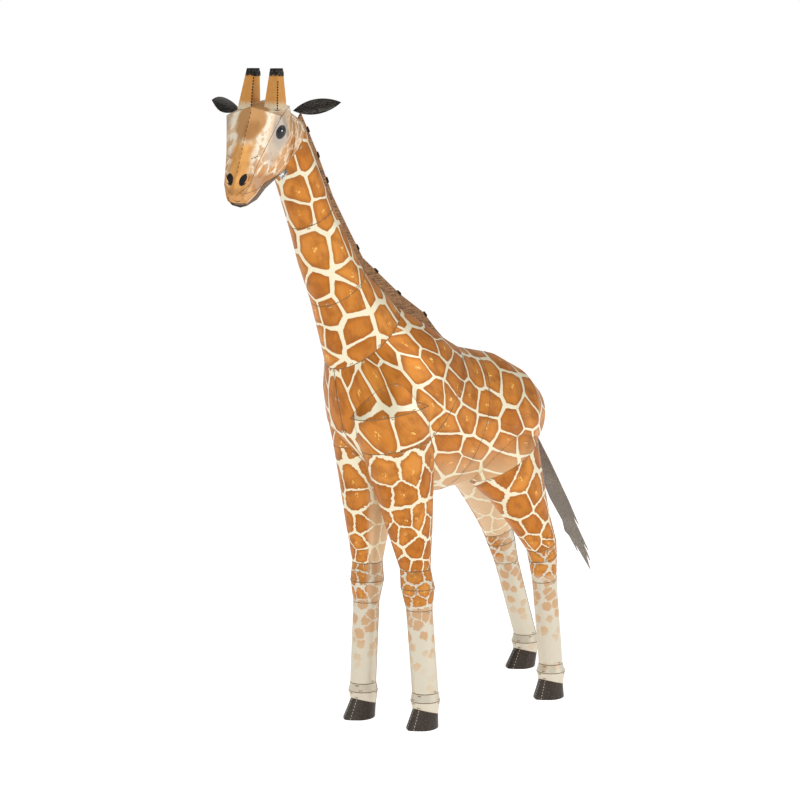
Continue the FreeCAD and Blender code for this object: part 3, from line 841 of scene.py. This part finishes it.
def edge_lips(group):
    """A thin raised rim of bare cut steel round every sheet of a group."""
    heap = Heap()
    for node in GROUPS[group]:
        for chain in LOOPS[node]:
            chain = thin_out(chain, EDGE_STEP)
            if len(chain) < EDGE_FEWEST:
                continue
            sections = []
            for spot, normal, inward in chain:
                up = normal * (EDGE_PROUD * MM)
                over = inward * (EDGE_WIDE * MM)
                outer = spot - over * 0.1
                inner = spot + over
                sections.append([outer - up, outer + up * 0.6, spot + over * 0.35 + up,
                                 inner + up * 0.4, inner - up])
            heap.sweep(sections, closed=True)
    heap.make(f"{group}_cut_edges", "edge")


def tabs(group, spacing):
    """Tabs folded flat through their slots, evenly spaced beside each rim."""
    heap = Heap()
    for node in GROUPS[group]:
        for chain in LOOPS[node]:
            total = loop_length(chain)
            count = max(2, round(total / spacing))
            walked = 0.0
            due = total / count / 2
            for before, (spot, normal, inward) in zip(chain, chain[1:]):
                walked += (spot - before[0]).length / MM
                if walked >= due:
                    at = spot + inward * (TAB_INSET * MM)
                    heap.bar(at, inward.cross(normal), normal, 0.9, 0.32, 0.07)
                    due += total / count
    heap.make(f"{group}_tabs", "tab")


def leg_seams(leg):
    """The open seam down the inner side of each tube of a leg, as a narrow dark line."""
    heap = Heap()
    facing = seam_side(leg).normalized()
    for node in GROUPS[leg]:
        if not any(part in node for part in SHIN_PARTS + ("upper_leg", "thigh")):
            continue
        ends = []
        for chain in by_height(LOOPS[node])[:2]:
            centre = loop_centre(chain) * MM
            ends.append(max(chain, key=lambda entry: (entry[0] - centre).normalized().dot(facing)))
        if len(ends) == 2:
            run = ends[1][0] - ends[0][0]
            middle = (ends[0][0] + ends[1][0]) / 2
            heap.bar(middle, run, ends[0][1], run.length / MM * 0.98, 0.16, 0.04)
    heap.make(f"{leg}_seam_line", "dash")


def mane_tabs():
    """Stubby tabs that stand out along the mane's outer edge."""
    back = Vector((0, NECK.axis.z, -NECK.axis.y))
    heap = Heap()
    for node in ("mane_upper_left", "mane_lower_left"):
        chain = max(LOOPS[node], key=loop_length)
        outer = [entry for entry in chain if -entry[2].dot(back) > 0.55]
        outer.sort(key=lambda entry: entry[0].z)
        due = outer[0][0].z / MM + MANE_TAB_START
        for (low, _, inward), (high, _, _) in zip(outer, outer[1:]):
            while low.z / MM <= due < high.z / MM:
                spot = low.lerp(high, (due - low.z / MM) / ((high.z - low.z) / MM))
                spot.x = 0
                heap.bar(spot, high - low, -inward, 1.5, 0.75, 0.42, 0.3)
                due += MANE_TAB_SPACING
    heap.make("mane_tabs", "dash")


def rim_at(chain, centre, aim):
    """How far from its centre and how high a loop lies on one side."""
    spot = max(chain, key=lambda entry: (entry[0] - centre).to_2d().normalized().dot(aim.to_2d()))[0]
    return (spot - centre).to_2d().length, spot.z


def toe_fold(turn):
    """The hoof's ridge at the toe and the flats beside it, as a share of its radius."""
    off = min(turn, math.tau - turn)
    return 0.07 * math.exp(-(off / 0.16) ** 2) - 0.06 * math.exp(-((off - 0.62) / 0.34) ** 2)


def hoof_rings(leg):
    """A folded hoof's outlines, from its top rim to its sole."""
    low, top = by_height(LOOPS[f"{leg}_hoof"])[:2]
    low_centre = loop_centre(low) * MM
    top_centre = loop_centre(top) * MM
    rings = []
    for row in range(HOOF_ROWS + 1):
        share = row / HOOF_ROWS
        centre = top_centre.lerp(low_centre, share)
        ring = []
        for turn in turns(HOOF_SIDES):
            aim = Vector((math.sin(turn), -math.cos(turn), 0))
            top_wide, top_high = rim_at(top, top_centre, aim)
            low_wide, low_high = rim_at(low, low_centre, aim)
            radius = (top_wide * (1 - share) + low_wide * share) * (1 + toe_fold(turn))
            height = top_high * (1 - share) + low_high * share
            ring.append(Vector((centre.x, centre.y, height)) + aim * radius)
        rings.append(ring)
    return rings


def hoof(leg):
    """A closed hoof in place of the CAD's open one, with a row of pale dashes each side of the toe."""
    rings = hoof_rings(leg)
    made = swept(f"{leg}_hoof_fold", rings, "hoof")
    made.data.set_sharp_from_angle(angle=HOOF_CREASE)
    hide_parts(f"{leg}_hoof")
    dashes = Heap()
    for column in (HOOF_SIDES - 2, 2):
        run = rings[-1][column] - rings[0][column]
        for index in range(HOOF_DASHES):
            at = (index + 0.5) / HOOF_DASHES * HOOF_ROWS
            row = min(int(at), HOOF_ROWS - 1)
            spot = rings[row][column].lerp(rings[row + 1][column], at - row)
            across = rings[row][(column + 1) % HOOF_SIDES] - rings[row][column - 1]
            dashes.bar(spot, run, run.cross(across), 0.42, 0.16, 0.04)
    dashes.make(f"{leg}_hoof_dashes", "chalk")


for group in GROUPS:
    edge_lips(group)
tabs("neck", NECK_TAB_SPACING)
tabs("trunk", TRUNK_TAB_SPACING)
for each in LEGS:
    tabs(each, LEG_TAB_SPACING)
    leg_seams(each)
    hoof(each)
mane_tabs()


# ------------ the head

# Places in the head's frame, in millimetres: (back, up) on a cheek and (side, up) on the face.
EYE_PLACE = (-8.0, 4.4)
JAW_CORNER = (-3.5, -5.2)
NOSTRIL_PLACE = (2.0, -6.7)
FOLD_TOP = 8.8
FOLD_END = -5.6
FOLD_STEP = 1.05
SIDE_DASHES = ((3.1, -1.7), (3.7, -1.5), (4.3, -1.2))
RAY_START = 40.0
RUMP_SLANT = math.radians(17.35)
CAP_FLUSH = 0.06 * MM
CAP_SIDES = 40
TUFT_SIDES = 32
DOME_SIDES = 28


def from_head(x, y, z):
    """A point of the head's frame in millimetres, as a point of the figure in metres."""
    return (HEAD_ORIGIN + HEAD_TURN @ Vector((x, y, z))) * MM


def head_way(x, y, z):
    """A direction of the head's frame, in the figure's."""
    return HEAD_TURN @ Vector((x, y, z))


def head_surface():
    """Every head sheet in one search tree."""
    points = []
    faces = []
    for node in HEAD_NODES:
        mesh = NODES[node].data
        base = len(points)
        points.extend(v.co.copy() for v in mesh.vertices)
        faces.extend([base + i for i in polygon.vertices] for polygon in mesh.polygons)
    return BVHTree.FromPolygons(points, faces)


HEAD_SURFACE = head_surface()


def struck(start, way):
    """Where a ray meets the head, with the normal that faces back along it."""
    spot, normal, _, _ = HEAD_SURFACE.ray_cast(start, way)
    return spot, normal if normal.dot(way) < 0 else -normal


def on_face(x, z):
    """Where the face's front lies at a side offset and a height: point and outward normal."""
    return struck(from_head(x, -RAY_START, z), head_way(0, 1, 0))


def on_cheek(y, z, sign):
    """Where a cheek lies at a distance back and a height."""
    return struck(from_head(sign * RAY_START, y, z), head_way(-sign, 0, 0))


def dome(name, centre, normal, up, half_wide, half_tall, rise, lift, pinch, coat):
    """A low dome on a surface. A pinch above 1 draws its two ends into an almond."""
    rings = 5
    normal = normal.normalized()
    up = (up - normal * up.dot(normal)).normalized()
    across = up.cross(normal)
    sections = []
    for ring in range(rings + 1):
        share = 1 - ring / (rings + 0.4)
        height = normal * ((lift + rise * (1 - share ** 2)) * MM)
        section = []
        for turn in turns(DOME_SIDES):
            wide = math.cos(turn) * half_wide
            tall = math.copysign(abs(math.sin(turn)) ** pinch, math.sin(turn)) * half_tall
            section.append(centre + across * (wide * share * MM) + up * (tall * share * MM) + height)
        sections.append(section)
    skirt = [spot - normal * ((lift + 0.25) * MM) for spot in sections[0]]
    swept(name, [skirt] + sections, coat)


# Each eye's layers: name, (half width, half height, rise, lift, pinch) and how far forward and up.
EYE_PARTS = (
    ("rim", (1.34, 1.72, 0.1, 0.03, 1.15), 0, 0),
    ("iris", (1.14, 1.46, 0.2, 0.06, 1.0), 0, 0),
    ("pupil", (0.84, 1.14, 0.12, 0.22, 1.0), 0, 0),
    # The glint is a painted highlight: a small white dome on the pupil.
    ("glint", (0.22, 0.3, 0.05, 0.36, 1.0), 0.06, 0.3),
)


def eye(side, sign):
    spot, normal = on_cheek(*EYE_PLACE, sign)
    up = head_way(0, 0.42, 1)
    forward = head_way(0, -1, 0)
    for part, shape, ahead, above in EYE_PARTS:
        centre = spot + forward * (ahead * MM) + up * (above * MM)
        dome(f"eye_{side}_{part}", centre, normal, up, *shape, part)


def nostril(side, sign):
    """A black almond with a raised edge on its outer side."""
    x, z = NOSTRIL_PLACE
    spot, normal = on_face(sign * x, z)
    up = head_way(sign * 0.55, 0, 1)
    dome(f"nostril_{side}", spot, normal, up, 1.05, 1.6, 0.06, 0.03, 1.2, "nostril")
    across = head_way(sign, 0, 0)
    up = up.normalized()
    profile = ((-0.1, -0.2), (0.0, 0.22), (0.22, 0.12), (0.4, -0.2))
    steps = 8
    sections = []
    for step in range(steps + 1):
        turn = math.radians(-70 + 140 * step / steps)
        out = across * (math.cos(turn) * 0.9 * MM) + up * (math.sin(turn) * 1.4 * MM)
        away = out.normalized()
        centre = spot + out + normal * (0.05 * MM)
        sections.append([centre + away * (a * MM) + normal * (b * MM) for a, b in profile])
    swept(f"nostril_{side}_flare", sections, "face")


def cap(name, points, across, down, forward, sides, levels, coat):
    """A lid over the points that lie furthest forward. Levels pairs a share of their outline's size
    with a height in millimetres. Returns their centre."""
    reach = max(co.dot(forward) for co in points)
    rim = [co for co in points if co.dot(forward) > reach - CAP_FLUSH]
    centre = sum(rim, Vector()) / len(rim)
    aims = [across * math.cos(turn) + down * math.sin(turn) for turn in turns(sides)]
    outline = [(aim, max((co - centre).dot(aim) for co in rim)) for aim in aims]
    sections = []
    for share, rise in levels:
        lift = forward * (rise * MM)
        sections.append([centre + aim * (radius * share) + lift for aim, radius in outline])
    swept(name, sections, coat)
    return centre


def points_of(nodes):
    """Every corner of some sheets, in metres."""
    return [v.co for node in nodes for v in NODES[node].data.vertices]


def rump_cap():
    """The folded end of the rump round the tail's root."""
    down = Vector((0, -math.sin(RUMP_SLANT), -math.cos(RUMP_SLANT)))
    forward = Vector((0, math.cos(RUMP_SLANT), -math.sin(RUMP_SLANT)))
    levels = ((0.97, -0.5), (0.97, -0.05), (0.8, 0.3), (0.5, 0.5), (0.1, 0.55))
    points = points_of(("rump_left", "rump_right"))
    cap("rump_end", points, down.cross(forward), down, forward, CAP_SIDES, levels, "trunk")


def muzzle_cap():
    """The folded end of the muzzle: a flat cap inside the opening, with the mouth line across it."""
    forward = HEAD_TURN @ Vector((0, -3.2, -2.6)).normalized()
    down = HEAD_TURN @ Vector((0, 2.6, -3.2)).normalized()
    across = down.cross(forward)
    levels = ((0.94, -0.5), (0.94, -0.3), (0.86, -0.2), (0.7, -0.12), (0.4, -0.06), (0.08, -0.04))
    points = points_of(HEAD_NODES)
    centre = cap("muzzle_end", points, across, down, forward, CAP_SIDES, levels, "face")
    mouth = Heap()
    for step in range(-4, 5):
        side = step * 0.52
        drop = 0.5 - 0.085 * step ** 2
        rise = -0.08 - 0.008 * step ** 2
        spot = centre + across * (side * MM) + down * (drop * MM) + forward * (rise * MM)
        mouth.bar(spot, across - down * (0.33 * step), forward, 0.7, 0.2, 0.05, 0.3)
    mouth.make("mouth_line", "dash")


def cheek_overlap(side, sign):
    """Closes the slit where the skull's sheet laps over a cheek's rear edge: at each level, the search
    runs back over the cheek until the surface steps outwards."""
    levels = [3.6 - 0.5 * index for index in range(15)]
    backs = [-3.0 + 0.1 * index for index in range(28)]
    outward = head_way(sign, 0, 0)
    depth = outward * (0.3 * MM)
    sections = []
    for level in levels:
        spots = [on_cheek(back, level, sign)[0] for back in backs]
        steps = [(b - a).dot(outward) for a, b in zip(spots, spots[1:])]
        at = max(range(2, len(steps) - 3), key=steps.__getitem__)
        front = spots[at - 1]
        rear = spots[at + 2]
        sections.append([front, rear, rear - depth, front - depth])
    swept(f"cheek_{side}_overlap", sections, "face")


def jaw_curl(side, sign):
    """A bright tab rolled outwards at the rear corner of the jaw."""
    spot, normal = on_cheek(*JAW_CORNER, sign)
    run = head_way(0, 0.8, 0.6)
    drop = head_way(0, 0.6, -0.8)
    profile = ((-1.6, 0.72), (1.6, 0.72), (1.6, 0.62), (-1.6, 0.62))
    steps = 8
    sections = []
    for step in range(steps + 1):
        turn = math.radians(-40 + 230 * step / steps)
        section = []
        for along, radius in profile:
            out = normal * ((0.5 - math.cos(turn) * radius) * MM)
            section.append(spot + run * (along * MM) + out + drop * (math.sin(turn) * radius * MM))
        sections.append(section)
    swept(f"jaw_{side}_curl", sections, "bright")


def face_dashes():
    """The dashed fold down the middle of the face, and three dashes on each side of the nose."""
    heap = Heap()
    height = FOLD_TOP
    while height > FOLD_END:
        spot, normal = on_face(0.0, height)
        below, _ = on_face(0.0, height - 0.4)
        heap.bar(spot, below - spot, normal, 0.5, 0.12, 0.03)
        height -= FOLD_STEP
    heap.make("face_fold_dashes", "dash")
    heap = Heap()
    for _, sign in reversed(SIDES):
        for offset, height in SIDE_DASHES:
            spot, normal = on_face(sign * offset, height)
            beside, _ = on_face(sign * (offset - 0.3), height - 0.1)
            heap.bar(spot, beside - spot, normal, 0.5, 0.16, 0.03)
    heap.make("face_side_dashes", "dash")


def horn_dashes(side):
    """The dashed fold up a horn's front left corner."""
    low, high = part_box(f"horn_{side}")
    aim = head_way(1, -1, 0)
    corners = []
    for level in (low.z, high.z):
        near = [v.co for v in NODES[f"horn_{side}"].data.vertices if abs(v.co.z - level) < 2.6 * MM]
        corners.append(max(near, key=lambda co: co.dot(aim) - abs(co.z - level) * 0.2))
    foot, top = corners
    count = 11
    dashed = 0.86
    heap = Heap()
    for index in range(count):
        spot = foot.lerp(top, (index + 0.5) / count * dashed)
        heap.bar(spot, top - foot, aim, 0.45, 0.3, 0.06)
    heap.make(f"horn_{side}_dashes", "dash")


def horn_tuft(side):
    """The dark tuft at a horn's tip: a rounded square cap a little wider than the horn."""
    levels = ((1.03, -1.9), (1.16, -1.75), (1.12, -0.9), (0.98, -0.35), (0.8, -0.12), (0.4, -0.02))
    points = points_of((f"horn_{side}",))
    axes = Matrix.Identity(3)
    cap(f"horn_{side}_tuft", points, axes[0], axes[1], axes[2], TUFT_SIDES, levels, "ear")


for each, way in SIDES:
    eye(each, way)
    nostril(each, way)
    cheek_overlap(each, way)
    jaw_curl(each, way)
    horn_dashes(each)
    horn_tuft(each)
muzzle_cap()
rump_cap()
face_dashes()


# ------------ stage and camera

# The camera looks at VIEW_AIM from this far off and above, turned to the animal's left.
VIEW_AIM = Vector((5.2, -14.3, 86.0)) * MM
VIEW_TURN = math.radians(44.0)
VIEW_DISTANCE = 620 * MM
VIEW_RISE = 93 * MM
LENS = 110.6
SENSOR = 36.0

# The stage, in metres and watts.
FLOOR_HALF = 6.0
FLOOR_GLOW = 0.6
SURROUND_LIGHT = 0.42
LIGHT_AIM = Vector((0, 0, 0.09))
WHITE = (1, 1, 1, 1)


def area_light(name, spot, size, power):
    lamp = bpy.data.lights.new(name, "AREA")
    lamp.shape = "DISK"
    lamp.size = size
    lamp.energy = power
    made = bpy.data.objects.new(name, lamp)
    made.location = spot
    made.rotation_euler = (LIGHT_AIM - Vector(spot)).to_track_quat("-Z", "Y").to_euler()
    bpy.context.scene.collection.objects.link(made)


def floor():
    """A white floor that glows a little, so that it stays pale."""
    corners = [(x * FLOOR_HALF, y * FLOOR_HALF, 0) for x, y in ((-1, -1), (1, -1), (1, 1), (-1, 1))]
    mesh = bpy.data.meshes.new("floor")
    mesh.from_pydata(corners, [], [(0, 1, 2, 3)])
    made = bpy.data.objects.new("floor", mesh)
    bpy.context.scene.collection.objects.link(made)
    g = Graph("floor_white")
    shade = g.mix(g.noise(g.place(), 0.002), (250, 250, 250), (255, 255, 255))
    made.data.materials.append(g.finish(shade, 0.9))
    shader = next(node for node in g.tree.nodes if node.type == "BSDF_PRINCIPLED")
    shader.inputs["Emission Color"].default_value = WHITE
    shader.inputs["Emission Strength"].default_value = FLOOR_GLOW


def surround():
    """An even white surround: bright where the camera sees it, dimmer as a light."""
    world = bpy.data.worlds.new("studio")
    world.use_nodes = True
    nodes = world.node_tree.nodes
    links = world.node_tree.links
    light = nodes["Background"]
    seen = nodes.new("ShaderNodeBackground")
    for background, strength in ((light, SURROUND_LIGHT), (seen, 1.0)):
        background.inputs[0].default_value = WHITE
        background.inputs[1].default_value = strength
    path = nodes.new("ShaderNodeLightPath")
    choice = nodes.new("ShaderNodeMixShader")
    links.new(path.outputs["Is Camera Ray"], choice.inputs[0])
    links.new(light.outputs[0], choice.inputs[1])
    links.new(seen.outputs[0], choice.inputs[2])
    links.new(choice.outputs[0], nodes["World Output"].inputs[0])
    bpy.context.scene.world = world


def camera():
    lens = bpy.data.cameras.new("view")
    lens.lens = LENS
    lens.sensor_width = SENSOR
    made = bpy.data.objects.new("view", lens)
    ahead = Vector((math.sin(VIEW_TURN), -math.cos(VIEW_TURN), 0)) * VIEW_DISTANCE
    made.location = VIEW_AIM + ahead + Vector((0, 0, VIEW_RISE))
    made.rotation_euler = (VIEW_AIM - made.location).to_track_quat("-Z", "Y").to_euler()
    bpy.context.scene.collection.objects.link(made)
    bpy.context.scene.camera = made


floor()
surround()
area_light("key", (0.25, -0.75, 0.75), 0.5, 3.2)
area_light("side", (0.74, 0.36, 0.5), 0.6, 3.2)
camera()
bpy.context.scene.view_settings.view_transform = "Standard"
